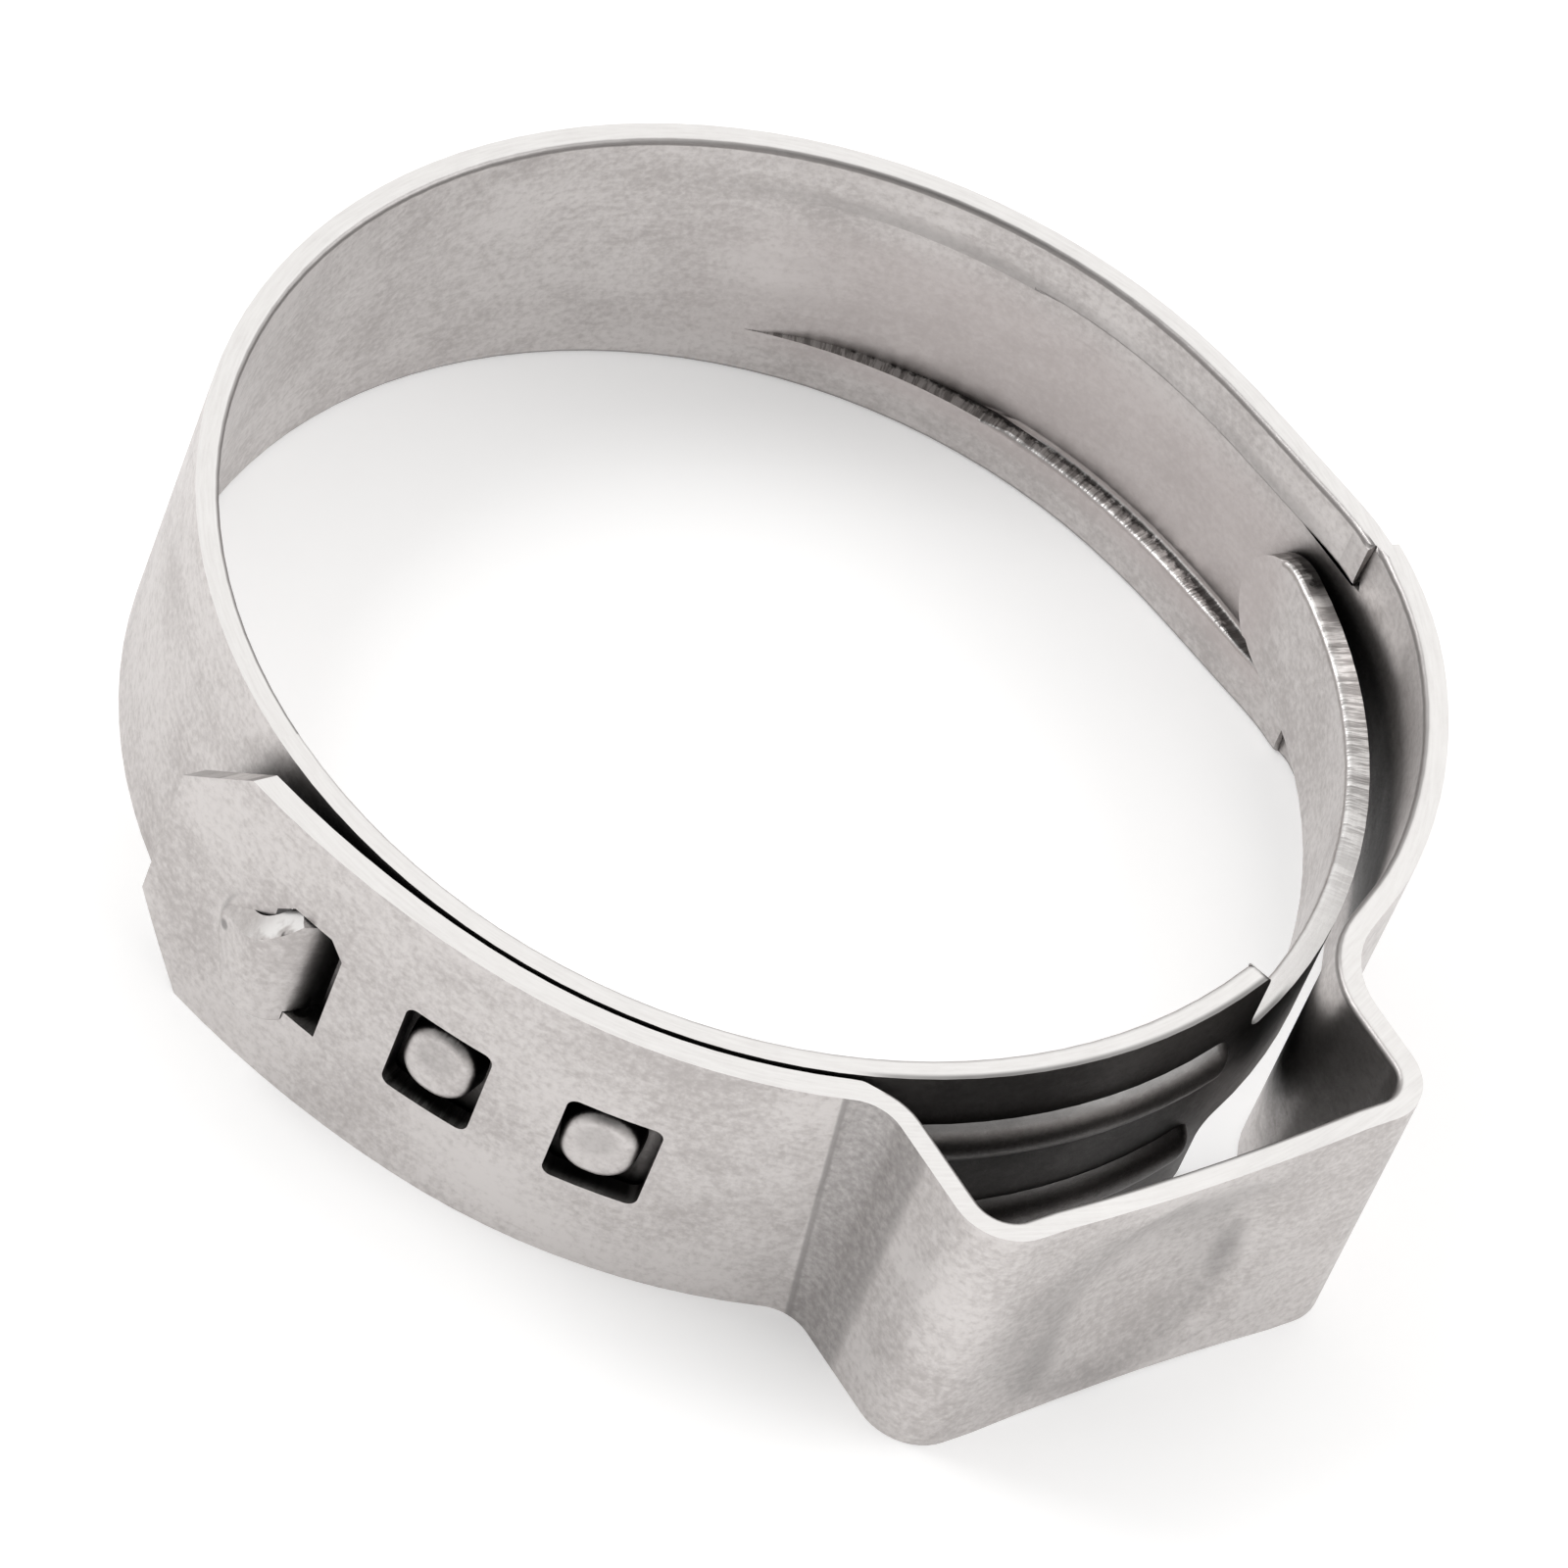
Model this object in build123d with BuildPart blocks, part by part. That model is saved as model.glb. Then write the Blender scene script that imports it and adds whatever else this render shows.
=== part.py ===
from build123d import *
from math import acos, asin, cos, degrees, radians, sin, sqrt
import os

# One-piece stepless ear clamp in its open state, made from one strip of
# spring stainless steel. The ring's axis is +Z with the origin at the ring's
# centre and at the middle of the strip's width. The ear points along -Y. Seen
# from +Z the strip runs counter-clockwise from its free end on the -X side,
# over the hook, the bosses and the ear, into the channel on the +X side, once
# round the ring, under hook, bosses and ear again, and ends in the tongue.

# strip
ring_d = 23.5  # inner diameter of the open ring
strip_w = 6.5  # width of the strip
strip_t = 0.5  # thickness of the strip
lap_gap = 0.12  # air between the two layers where they overlap

# ear
ear_w = 9.9  # clear width inside the ear
ear_rise = 2.62  # clear height inside the ear above the outer layer
ear_corner_r = 0.7  # inner radius of the two top corners
ear_foot_r = 1.5  # inner radius where the first leg leaves the ring
ear_heel_r = 2.4  # inner radius where the second leg returns to the ring
dimple_d = 5.8  # spherical dimple in the ear's top
dimple_depth = 0.36
draw_l = 7.2  # length of the strip's edges drawn in beside the dimple
draw_in = 0.2  # how far each edge is drawn in

# free end of the outer layer
end_deg = 176.5  # where the outer layer ends
lift_deg = 208.0  # where it lies down on the inner layer
lift_r = 19.0  # radius of the part that stands off
end_chamfer = 1.55  # corner cut of the free end

# outer layer after the ear: how far its inner face stands off the ring's
band_deg = [300.0, 306.0, 313.0, 321.0, 330.0, 337.5, 344.5]
band_rise = [0.79, 0.91, 0.99, 1.04, 1.07, 1.05, 0.93]

# channel that takes the tongue, with a flange along each side
step_deg = 346.5  # where the flanges are half sheared inward
channel_end_deg = 57.0  # where channel and flanges are one level again
channel_w = 4.0
channel_deg = [351.0, 358.0, 366.0, 384.0, 395.0, 405.0, 412.0]
channel_rise = [0.75, 0.60, 0.49, 0.44, 0.38, 0.27, 0.13]
flange_deg = [346.5, 349.0, 352.0, 355.0, 359.5, 365.0]
flange_rise = [0.72, 0.62, 0.46, 0.30, 0.14, 0.04]
flange_end_deg = 372.0  # where the flanges reach the ring's own radius

# tongue
shoulder_deg = 288.4  # where the inner layer narrows to the tongue
tongue_w = 2.9
tip_deg = 357.0
notch_r = 0.45  # concave corner between shoulder and tongue
shoulder_r = 0.3  # convex corner of each shoulder

# stiffening beads pressed outward in the inner layer below the ear
bead_deg = [247.0, 283.0]
bead_z = 1.3
bead_groove_r = 0.4
bead_depth = 0.36
bead_rib_r = 0.62
bead_height = 0.32

# windows in the outer layer, with the bosses pressed up below two of them
hook_window_deg = [189.6, 197.0]
hook_window_w = 2.64
hook_window_cut = 0.36
window_deg = [208.3, 224.1]
window_l = 1.95
window_w = 2.26
window_r = 0.22
boss_deg = [208.1, 223.6]
boss_l = 1.72
boss_w = 1.86
boss_corner_r = 0.8
boss_edge_r = 0.28
boss_top = 0.05  # how far a boss stays below the outer layer's outer face
boss_wall = 0.44
boss_taper = 8.0

# hook lanced from the inner layer, through its window and over the free end
hook_w = 2.56
hook_t = 0.4
hook_root_deg = 194.9
hook_hole_deg = 183.8
hook_nose_deg = 184.9
hook_nose_r = 1.5  # radius of the flattened nose, seen from outside
hook_nose_z = -0.2  # the nose leans this far towards -Z
hook_tuck_deg = 30.0  # how steeply the nose dips toward the bar
hook_dome = 0.06  # gap between the hook's crown and the free end
hook_edge_r = 0.17
lip_deg = 190.7  # middle of the sheared side of the hook, toward +Z
lip_z = 0.6
lip_turn = 36.0  # how far this side is turned from the strip's length
lip_drop = 0.05  # depth of its upper edge below the crown
lip_lean = 0.8  # its slope: sideways run for each unit of depth
hook_hole_w = 1.5
hook_hole_z = -0.53

ring_r = ring_d / 2
ring_out_r = ring_r + strip_t
lap_r = ring_out_r + lap_gap
lap_out_r = lap_r + strip_t
half_w = strip_w / 2
ear_half = ear_w / 2
ear_y = lap_r + ear_rise


def polar(radius, angle):
    return (radius * cos(radians(angle)), radius * sin(radians(angle)))


def radial_plane(radius, angle):
    # local x runs round the ring, local y along +Z, local z outward
    turn = radians(angle)
    return Plane(
        origin=(radius * cos(turn), radius * sin(turn), 0),
        x_dir=(-sin(turn), cos(turn), 0),
        z_dir=(cos(turn), sin(turn), 0),
    )


def axial_plane(angle):
    # local x runs outward, local y along +Z
    turn = radians(angle)
    return Plane(
        origin=(0, 0, 0),
        x_dir=(cos(turn), sin(turn), 0),
        z_dir=(sin(turn), -cos(turn), 0),
    )


def arc_length(angle, radius):
    return radians(angle) * radius


def lifted(angle, depth):
    # radius of a face of the free end, at a depth above its inner face
    away = lift_r - lap_r
    turn = radians(lift_deg - angle)
    return sqrt((lift_r + depth) ** 2 - (away * sin(turn)) ** 2) - away * cos(turn)


def outer_chain(depth):
    # one face of the outer layer, from the free end to the channel's end
    lap = lap_r + depth
    half = ear_half + depth
    top = ear_y + depth
    foot_deg = 180 + degrees(acos(half / lap))
    heel_r = ring_r + band_rise[0] + depth
    heel_deg = 270 + degrees(asin(half / heel_r))
    middle_deg = (end_deg + lift_deg) / 2
    end = polar(lifted(end_deg, depth), end_deg)
    middle = polar(lifted(middle_deg, depth), middle_deg)
    rises = band_rise + channel_rise
    turns = band_deg + channel_deg
    run = [polar(heel_r, heel_deg)]
    run += [polar(ring_r + rise + depth, a) for a, rise in zip(turns, rises)]
    run += [polar(ring_r + depth, channel_end_deg + 360)]
    ThreePointArc(end, middle, polar(lap, lift_deg))
    CenterArc((0, 0), lap, lift_deg, foot_deg - lift_deg)
    Polyline(polar(lap, foot_deg), (-half, -top), (half, -top), run[0])
    leave = radians(heel_deg)
    close = radians(channel_end_deg)
    Spline(*run, tangents=[(-sin(leave), cos(leave)), (-sin(close), cos(close))])
    return end, run[-1]


def flange_chain(depth):
    # one face of the flanges and of the ring, up to the shoulders
    radii = [ring_r + rise + depth for rise in flange_rise]
    run = [polar(radius, a) for radius, a in zip(radii, flange_deg)]
    run.append(polar(ring_r + depth, flange_end_deg))
    close = radians(flange_end_deg)
    falling = (run[1][0] - run[0][0], run[1][1] - run[0][1])
    Spline(*run, tangents=[falling, (-sin(close), cos(close))])
    start_deg = flange_end_deg - 360
    CenterArc((0, 0), ring_r + depth, start_deg, shoulder_deg - start_deg)
    return run[0], polar(ring_r + depth, shoulder_deg)


def channel_wedge(reach):
    # the sector of the ring that the channel and its flanges take up
    middle_deg = (step_deg + channel_end_deg + 360) / 2
    bow = reach / cos(radians(middle_deg - step_deg))
    Polyline(
        (0, 0),
        polar(reach, step_deg),
        polar(bow, middle_deg),
        polar(reach, channel_end_deg),
        close=True,
    )


with BuildPart() as channel_core:
    with BuildSketch():
        with BuildLine():
            channel_wedge(2 * ring_r)
        make_face()
    extrude(amount=channel_w / 2, both=True)

with BuildPart() as channel_sides:
    with BuildSketch():
        with BuildLine():
            channel_wedge(2 * ring_r)
        make_face()
    extrude(amount=strip_w, both=True)
    add(channel_core.part, mode=Mode.SUBTRACT)

# Outer layer: free end, ear, and the band that runs on as the channel.
with BuildPart() as outer_layer:
    with BuildSketch() as profile:
        with BuildLine():
            end_in, close_in = outer_chain(0)
            end_out, close_out = outer_chain(strip_t)
            Line(end_in, end_out)
            Line(close_in, close_out)
        make_face()
        heel_r = ring_r + band_rise[0]
        for depth, grow in ((0, 0), (strip_t, strip_t)):
            half = ear_half + depth
            foot_y = -sqrt((lap_r + depth) ** 2 - half**2)
            heel_y = -sqrt((heel_r + depth) ** 2 - half**2)
            for x, y, radius in (
                (-half, -ear_y - depth, ear_corner_r + grow),
                (half, -ear_y - depth, ear_corner_r + grow),
                (-half, foot_y, ear_foot_r - grow),
                (half, heel_y, ear_heel_r - grow),
            ):
                fillet(profile.vertices().sort_by_distance((x, y))[0], radius)
    extrude(amount=half_w, both=True)
    add(channel_sides.part, mode=Mode.SUBTRACT)

    # windows over the hook and over the two bosses
    floor_r = ring_out_r + lap_gap / 3
    hook_window_l = arc_length(hook_window_deg[1] - hook_window_deg[0], lap_out_r)
    with BuildSketch(radial_plane(floor_r, sum(hook_window_deg) / 2)) as opening:
        Rectangle(hook_window_l, hook_window_w)
        chamfer(opening.vertices().group_by(Axis.Y)[-1], hook_window_cut)
    extrude(amount=3 * strip_t, mode=Mode.SUBTRACT)
    for angle in window_deg:
        with BuildSketch(radial_plane(floor_r, angle)):
            RectangleRounded(window_l, window_w, window_r)
        extrude(amount=3 * strip_t, mode=Mode.SUBTRACT)

    # corner cuts of the free end
    for side in (-1, 1):
        with BuildSketch(radial_plane(lap_r - strip_t, end_deg)):
            with Locations((0, side * half_w)):
                Rectangle(sqrt(2) * end_chamfer, sqrt(2) * end_chamfer, rotation=45)
        extrude(amount=4 * strip_t, mode=Mode.SUBTRACT)

    # spherical dimple in the ear's top, with both edges drawn in beside it
    dimple_r = ((dimple_d / 2) ** 2 + dimple_depth**2) / (2 * dimple_depth)
    ball_y = -ear_y - strip_t + dimple_depth - dimple_r
    with BuildSketch():
        with Locations((0, ball_y)):
            Circle(dimple_r + strip_t)
        with Locations((0, -ear_y - strip_t / 2)):
            cap = (Align.MIN, Align.MIN)
            Rectangle(dimple_r, dimple_r, align=cap, mode=Mode.INTERSECT)
    revolve(axis=Axis.Y)
    with Locations((0, ball_y, 0)):
        Sphere(dimple_r, mode=Mode.SUBTRACT)
    draw_r = ((draw_l / 2) ** 2 + draw_in**2) / (2 * draw_in)
    with BuildSketch(Plane.XZ.offset(ear_y)):
        for side in (-1, 1):
            with Locations((0, side * (half_w - draw_in + draw_r))):
                Circle(draw_r)
    extrude(amount=2 * strip_t, mode=Mode.SUBTRACT)

# Hook: a tongue lanced from the inner layer, rising through its window and
# lying with its round nose on the bar between the window and the free end.
with BuildPart() as hook:
    with BuildSketch():
        with BuildLine():
            rise_deg = (hook_root_deg + hook_window_deg[0]) / 2
            crown_deg = (hook_nose_deg + hook_window_deg[0]) / 2 + 2
            over = hook_t + hook_dome
            root = radians(hook_root_deg)
            leave = (sin(root), -cos(root))
            nose = radians(hook_nose_deg + hook_tuck_deg)
            settle = (sin(nose), -cos(nose))
            upper = [
                polar(ring_out_r - strip_t / 8, hook_root_deg + 0.7),
                polar(ring_out_r + 2 * strip_t / 3, hook_root_deg - 0.5),
                polar(lifted(rise_deg, strip_t) + over - 0.13, rise_deg),
                polar(lifted(crown_deg, strip_t) + over, crown_deg),
                polar(lifted(hook_nose_deg, strip_t) + hook_t / 2, hook_nose_deg),
            ]
            lower = [
                polar(ring_r + strip_t / 4, hook_root_deg),
                polar(ring_out_r + strip_t / 8, hook_root_deg - 2.2),
                polar(lifted(rise_deg, strip_t) - 0.14, rise_deg - 1.3),
                polar(lifted(crown_deg, strip_t) + hook_dome, crown_deg),
                polar(lifted(hook_nose_deg, strip_t) - hook_t / 4, hook_nose_deg),
            ]
            Spline(*upper, tangents=[leave, settle])
            Spline(*lower, tangents=[leave, settle])
            Line(upper[0], lower[0])
            Line(upper[-1], lower[-1])
        make_face()
    extrude(amount=hook_w, both=True)

    # outline seen from outside: a round nose and a straight strap
    plan_deg = (hook_nose_deg + hook_root_deg) / 2
    nose_x = hook_nose_r - arc_length(plan_deg - hook_nose_deg, lap_out_r)
    with BuildSketch(radial_plane(ring_r - strip_t, plan_deg)):
        with Locations((nose_x, hook_nose_z)):
            Circle(hook_nose_r)
        with Locations((hook_w, 0)):
            Rectangle(3 * hook_w / 2, hook_w)
    extrude(amount=6 * strip_t, mode=Mode.INTERSECT)
    over_crown = (*polar(2 * lap_out_r, crown_deg), 0)
    top = hook.faces().sort_by_distance(over_crown)[0]
    fillet(top.edges(), hook_edge_r)

    # the strap keeps clear of the window's side below the free end's face
    surface_r = lifted(rise_deg, strip_t)
    with BuildSketch(radial_plane(ring_r - strip_t, rise_deg)):
        with Locations((hook_w / 2, -hook_w)):
            Rectangle(2 * hook_w, hook_w)
    extrude(amount=surface_r - ring_r + strip_t, mode=Mode.SUBTRACT)

    # slope where the hook's side was sheared
    turn = radians(lip_deg)
    skew = radians(lip_turn)
    lip_r = lifted(lip_deg, strip_t) + over - lip_drop
    along = Vector(-sin(turn) * cos(skew), cos(turn) * cos(skew), sin(skew))
    across = Vector(sin(turn) * sin(skew), -cos(turn) * sin(skew), cos(skew))
    outward_dir = Vector(cos(turn), sin(turn), 0)
    lip_normal = lip_lean * outward_dir + across
    lip_origin = (*polar(lip_r, lip_deg), lip_z)
    with BuildSketch(Plane(origin=lip_origin, x_dir=along, z_dir=lip_normal)):
        Rectangle(4 * hook_w, 4 * hook_w)
    extrude(amount=hook_w, mode=Mode.SUBTRACT)

# Beads and bosses pressed outward in the inner layer. The first set of forms
# is their outer faces, rooted in the middle of the strip's thickness, and the
# second is the hollows behind them. The bosses' top edges are rounded outside
# and cut at a slant in the hollows.
outward = (
    ring_out_r + bead_height - bead_rib_r,
    bead_rib_r,
    lap_out_r - boss_top,
    0,
    ring_r + strip_t / 2,
    fillet,
)
inward = (
    ring_r + bead_depth - bead_groove_r,
    bead_groove_r,
    lap_out_r - boss_top - boss_wall,
    boss_wall / 2,
    ring_r - strip_t,
    chamfer,
)
bead_turn = bead_deg[1] - bead_deg[0]
pressed_forms = []
for bead_at, bead_round, boss_out_r, inset, core_r, ease in (outward, inward):
    with BuildPart() as form:
        # each bead is a round bar bent with the ring, with ball ends
        for side in (-1, 1):
            with BuildSketch(axial_plane(bead_deg[0])):
                with Locations((bead_at, side * bead_z)):
                    Circle(bead_round)
            revolve(axis=Axis.Z, revolution_arc=bead_turn)
            for angle in bead_deg:
                with Locations((*polar(bead_at, angle), side * bead_z)):
                    Sphere(bead_round)

        # each boss is a block with round corners and a round top edge
        for angle in boss_deg:
            with BuildSketch(radial_plane(core_r, angle)):
                boss_size = (boss_l - 2 * inset, boss_w - 2 * inset)
                RectangleRounded(*boss_size, boss_corner_r - inset)
            extrude(amount=boss_out_r - core_r, taper=boss_taper)
            crown = (*polar(boss_out_r, angle), 0)
            top = form.faces().sort_by_distance(crown)[0]
            ease(top.edges(), boss_edge_r - inset / 2)

        Cylinder(core_r + strip_t / 9, strip_w, mode=Mode.SUBTRACT)
    pressed_forms.append(form.part)

with BuildPart() as clamp_band:
    # flanges and the full-width ring up to the shoulders
    with BuildSketch():
        with BuildLine():
            start_in, stop_in = flange_chain(0)
            start_out, stop_out = flange_chain(strip_t)
            Line(start_in, start_out)
            Line(stop_in, stop_out)
        make_face()
    extrude(amount=half_w, both=True)
    add(channel_core.part, mode=Mode.SUBTRACT)

    # tongue with a round tip, and the corners where it leaves the shoulders
    with BuildSketch():
        tip_turn = tip_deg - shoulder_deg
        with BuildLine():
            CenterArc((0, 0), ring_r, shoulder_deg, tip_turn)
            CenterArc((0, 0), ring_out_r, shoulder_deg, tip_turn)
            Line(polar(ring_r, shoulder_deg), polar(ring_out_r, shoulder_deg))
            Line(polar(ring_r, tip_deg), polar(ring_out_r, tip_deg))
        make_face()
    extrude(amount=tongue_w / 2, both=True)
    shoulder_point = polar((ring_r + ring_out_r) / 2, shoulder_deg)
    for side in (-1, 1):
        spot = (*shoulder_point, side * tongue_w / 2)
        fillet(clamp_band.edges().sort_by_distance(spot)[0], notch_r)
        spot = (*shoulder_point, side * half_w)
        fillet(clamp_band.edges().sort_by_distance(spot)[0], shoulder_r)
    tip_half_deg = degrees(tongue_w / 2 / ring_r)
    with BuildSketch(radial_plane(ring_r - strip_t, tip_deg - tip_half_deg)):
        with Locations((tongue_w, 0)):
            Rectangle(2 * tongue_w, (tongue_w + channel_w) / 2)
        Circle(tongue_w / 2, mode=Mode.SUBTRACT)
    extrude(amount=3 * strip_t, mode=Mode.SUBTRACT)

    # hole left by the lanced hook, round toward the free end
    hole_middle_deg = hook_hole_deg + degrees(hook_hole_w / 2 / ring_out_r)
    with BuildSketch(radial_plane(ring_r - strip_t, hole_middle_deg)):
        hole_run = arc_length(hook_root_deg - hole_middle_deg, ring_r)
        with Locations((0, hook_hole_z)):
            Circle(hook_hole_w / 2)
        with Locations((hole_run / 2, hook_hole_z)):
            Rectangle(hole_run, hook_hole_w)
    extrude(amount=2 * strip_t + lap_gap / 2, mode=Mode.SUBTRACT)

    # beads and bosses, and the hollows that pressing them leaves behind
    add(pressed_forms[0])
    add(pressed_forms[1], mode=Mode.SUBTRACT)
    add(hook.part)
    add(outer_layer.part)

clamp_band.part.label = "clamp_band"
os.makedirs("parts", exist_ok=True)
export_step(clamp_band.part, "parts/clamp_band.step")
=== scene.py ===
# %% [markdown]
# # A stepless ear clamp in stainless steel
# The real clamp is one narrow steel strip, punched flat, rolled into a ring
# and hooked into itself. Its ear stands up on one side and is squeezed to
# close the ring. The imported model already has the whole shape, so this
# lesson gives it what a punched and rolled strip has on top of its shape:
# soft cut edges, a satin surface with grain, and a plain studio round it.

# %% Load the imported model
import math

import bmesh
import bpy
from mathutils import Matrix, Vector


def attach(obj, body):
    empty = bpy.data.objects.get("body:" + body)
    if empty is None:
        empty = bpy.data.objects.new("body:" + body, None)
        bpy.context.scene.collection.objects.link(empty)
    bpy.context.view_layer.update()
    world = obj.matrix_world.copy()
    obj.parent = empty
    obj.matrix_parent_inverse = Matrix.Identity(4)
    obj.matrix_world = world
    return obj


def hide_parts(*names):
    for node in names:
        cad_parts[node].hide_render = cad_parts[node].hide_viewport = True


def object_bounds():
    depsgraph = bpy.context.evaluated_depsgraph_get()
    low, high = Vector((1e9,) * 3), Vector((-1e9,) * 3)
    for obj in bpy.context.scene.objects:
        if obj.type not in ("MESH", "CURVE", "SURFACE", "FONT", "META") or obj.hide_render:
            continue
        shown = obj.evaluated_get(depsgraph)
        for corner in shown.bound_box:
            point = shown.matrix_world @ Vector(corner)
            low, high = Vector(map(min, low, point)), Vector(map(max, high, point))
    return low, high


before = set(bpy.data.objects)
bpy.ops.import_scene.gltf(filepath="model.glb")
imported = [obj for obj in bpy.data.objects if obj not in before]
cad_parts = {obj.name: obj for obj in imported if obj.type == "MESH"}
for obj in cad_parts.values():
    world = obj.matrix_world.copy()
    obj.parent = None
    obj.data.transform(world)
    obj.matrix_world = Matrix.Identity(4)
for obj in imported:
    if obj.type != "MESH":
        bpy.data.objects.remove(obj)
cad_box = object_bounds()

MM = 0.001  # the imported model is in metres
cad_size = [round(side / MM, 2) for side in cad_box[1] - cad_box[0]]
print("CAD box in mm:", cad_size)

# %% [markdown]
# ## The camera
# The clamp lies on its rim, and the photograph looks down on it at about 46
# degrees, from the side of the hook, with the camera rolled by 23 degrees.
# A long lens from about nine ring widths away keeps the far side of the ring
# nearly as large as the near side. An eye point, an aim point and the
# direction that is up in the picture say all of this at once.

# %% Camera
EYE = Vector((-113.34, -98.50, 156.23)) * MM
AIM = Vector((-0.05, -1.61, -1.03)) * MM
PICTURE_UP = Vector((0.2481, 0.7339, 0.6323))
LENS = 251  # in mm, as Blender counts every lens
NEAREST = 10 * MM  # nothing nearer to the camera than this is drawn

back = (EYE - AIM).normalized()
right = PICTURE_UP.cross(back).normalized()
turned = Matrix((right, back.cross(right), back)).transposed().to_4x4()
camera_data = bpy.data.cameras.new("camera")
camera_data.lens = LENS
camera_data.clip_start = NEAREST
camera = bpy.data.objects.new("camera", camera_data)
camera.matrix_world = Matrix.Translation(EYE) @ turned
bpy.context.scene.collection.objects.link(camera)
bpy.context.scene.camera = camera
bpy.context.scene.view_settings.view_transform = "Standard"
print("camera to ring in mm:", round((EYE - AIM).length / MM, 1))

# %% [markdown]
# ## Arithmetic with sockets
# A pattern is a sum of simple patterns, and written as nodes it would be
# dozens of lines of links. `Value` wraps one socket and takes part in plain
# Python expressions, so `1 - rim * 0.3` adds its own Math nodes.

# %% A value that does arithmetic
class Value:
    """One output socket that takes part in arithmetic."""

    def __init__(self, nodes, socket):
        self.nodes = nodes
        self.socket = socket

    def math(self, operation, *terms):
        sockets = dict(enumerate(terms))
        return self.nodes.value("ShaderNodeMath", {"operation": operation}, sockets)

    def __add__(self, other):
        return self.math("ADD", self, other)

    __radd__ = __add__

    def __sub__(self, other):
        return self.math("SUBTRACT", self, other)

    def __rsub__(self, other):
        return self.math("SUBTRACT", other, self)

    def __mul__(self, other):
        return self.math("MULTIPLY", self, other)

    __rmul__ = __mul__

    def __pow__(self, other):
        return self.math("POWER", self, other)

    def __abs__(self):
        return self.math("ABSOLUTE", self)


# %% [markdown]
# ## One way to make a node
# Every node comes from the one method `node`, which sets a node's settings
# first and then its sockets. The others are short names for what comes
# often. `fade` is a soft step. `band` is a soft stretch between two places,
# told by four numbers: where it starts, where it is full, where it is last
# full, and where it ends. Most marks on the strip are a band round the ring
# times a band across it.

# %% A node tree
class Nodes:
    """A node tree with one way to make a node."""

    def __init__(self, owner):
        owner.use_nodes = True
        self.tree = owner.node_tree
        self.tree.nodes.clear()

    def node(self, kind, settings=None, sockets=None):
        made = self.tree.nodes.new(kind)
        for name, setting in (settings or {}).items():
            setattr(made, name, setting)
        for name, term in (sockets or {}).items():
            if isinstance(term, Value):
                self.tree.links.new(term.socket, made.inputs[name])
            else:
                made.inputs[name].default_value = term
        return made

    def value(self, kind, settings=None, sockets=None, output=0):
        return Value(self, self.node(kind, settings, sockets).outputs[output])

    def fade(self, term, none, full):
        """0 at none and 1 at full, soft between them; either may be lower."""
        settings = {"interpolation_type": "SMOOTHSTEP"}
        ends = {0: term, 1: none, 2: full}
        return self.value("ShaderNodeMapRange", settings, ends)

    def band(self, term, start, full, last, end):
        """1 from full to last, and 0 before start and past end."""
        return self.fade(term, start, full) * self.fade(term, end, last)

    def noise(self, place, detail=3.0, roughness=0.5):
        sockets = {"Vector": place, "Scale": 1.0}
        sockets.update({"Detail": detail, "Roughness": roughness})
        return self.value("ShaderNodeTexNoise", None, sockets)

    def point(self, x, y, z):
        return self.value("ShaderNodeCombineXYZ", None, {0: x, 1: y, 2: z})

    def parts(self, vector):
        split = self.node("ShaderNodeSeparateXYZ", None, {0: vector})
        return [Value(self, socket) for socket in split.outputs]

    def blend(self, share, first, second):
        settings = {"data_type": "RGBA"}
        colours = {0: share, 6: first, 7: second}
        return self.value("ShaderNodeMix", settings, colours, output=2)


# %% [markdown]
# ## The studio
# Bare steel shows what stands round it, so the light is the larger half of
# its colour. From the camera, the upright faces of the ring mirror the floor
# and its upper rim mirrors one patch of sky, at the same height on the far
# side. A softbox there makes the rims the brightest lines of the picture.
# The edges that face the camera mirror the camera's own side of the room,
# which is dark, and so they show as thin dark lines; on the sloped edges
# along the rims such a line is also painted into the steel. A photograph of a
# studio could light the scene too, but two round patches on a pale sky do
# it with a few numbers that can be moved by hand.

# %% World
SKY_WHITE = (1.0, 0.99, 0.98, 1.0)
SKY_LEVEL = 0.84
SOFTBOX_GAIN = 0.4
DARK_SIDE_LOSS = 0.7
CLOUD_LOSS = 0.2
CLOUD_EDGE = (0.42, 0.6)
SKY_PATCHES = {
    # name: (direction, degrees out to its edge, degrees out to its full part)
    "softbox": ((0.52, 0.45, 0.73), 46, 24),
    "dark side": ((-0.52, -0.45, 0.73), 40, 16),
}

world = bpy.data.worlds.new("tent")
bpy.context.scene.world = world
tent = Nodes(world)
towards = tent.value("ShaderNodeTexCoord", output=0)
patch = {}
for name, (direction, edge, full) in SKY_PATCHES.items():
    ends = {0: towards, 1: Vector(direction).normalized()}
    nearness = tent.value("ShaderNodeVectorMath", {"operation": "DOT_PRODUCT"}, ends, 1)
    at_edge, at_full = math.cos(math.radians(edge)), math.cos(math.radians(full))
    patch[name] = tent.fade(nearness, at_edge, at_full)
clouds = tent.fade(tent.noise(towards, detail=1.0), *CLOUD_EDGE)
level = (SKY_LEVEL + patch["softbox"] * SOFTBOX_GAIN) * (1 - clouds * CLOUD_LOSS)
level = level * (1 - patch["dark side"] * DARK_SIDE_LOSS)
tent_light = {"Color": SKY_WHITE, "Strength": level}
tent_surface = tent.value("ShaderNodeBackground", None, tent_light)
tent.node("ShaderNodeOutputWorld", None, {"Surface": tent_surface})
print("sky patches:", sorted(patch), "sky nodes:", len(tent.tree.nodes))

# %% [markdown]
# ## The lamps
# The soft shadow to the lower right of the clamp comes from lamps as wide as
# several rings. The key lamp stands high at the upper left of the picture,
# and a weaker one at the right opens the shadows. Spot lamps would need a
# cone to be aimed, and an area lamp is soft by itself. It shines along its
# own -z, so each is turned until its z points away from the clamp.

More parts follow.
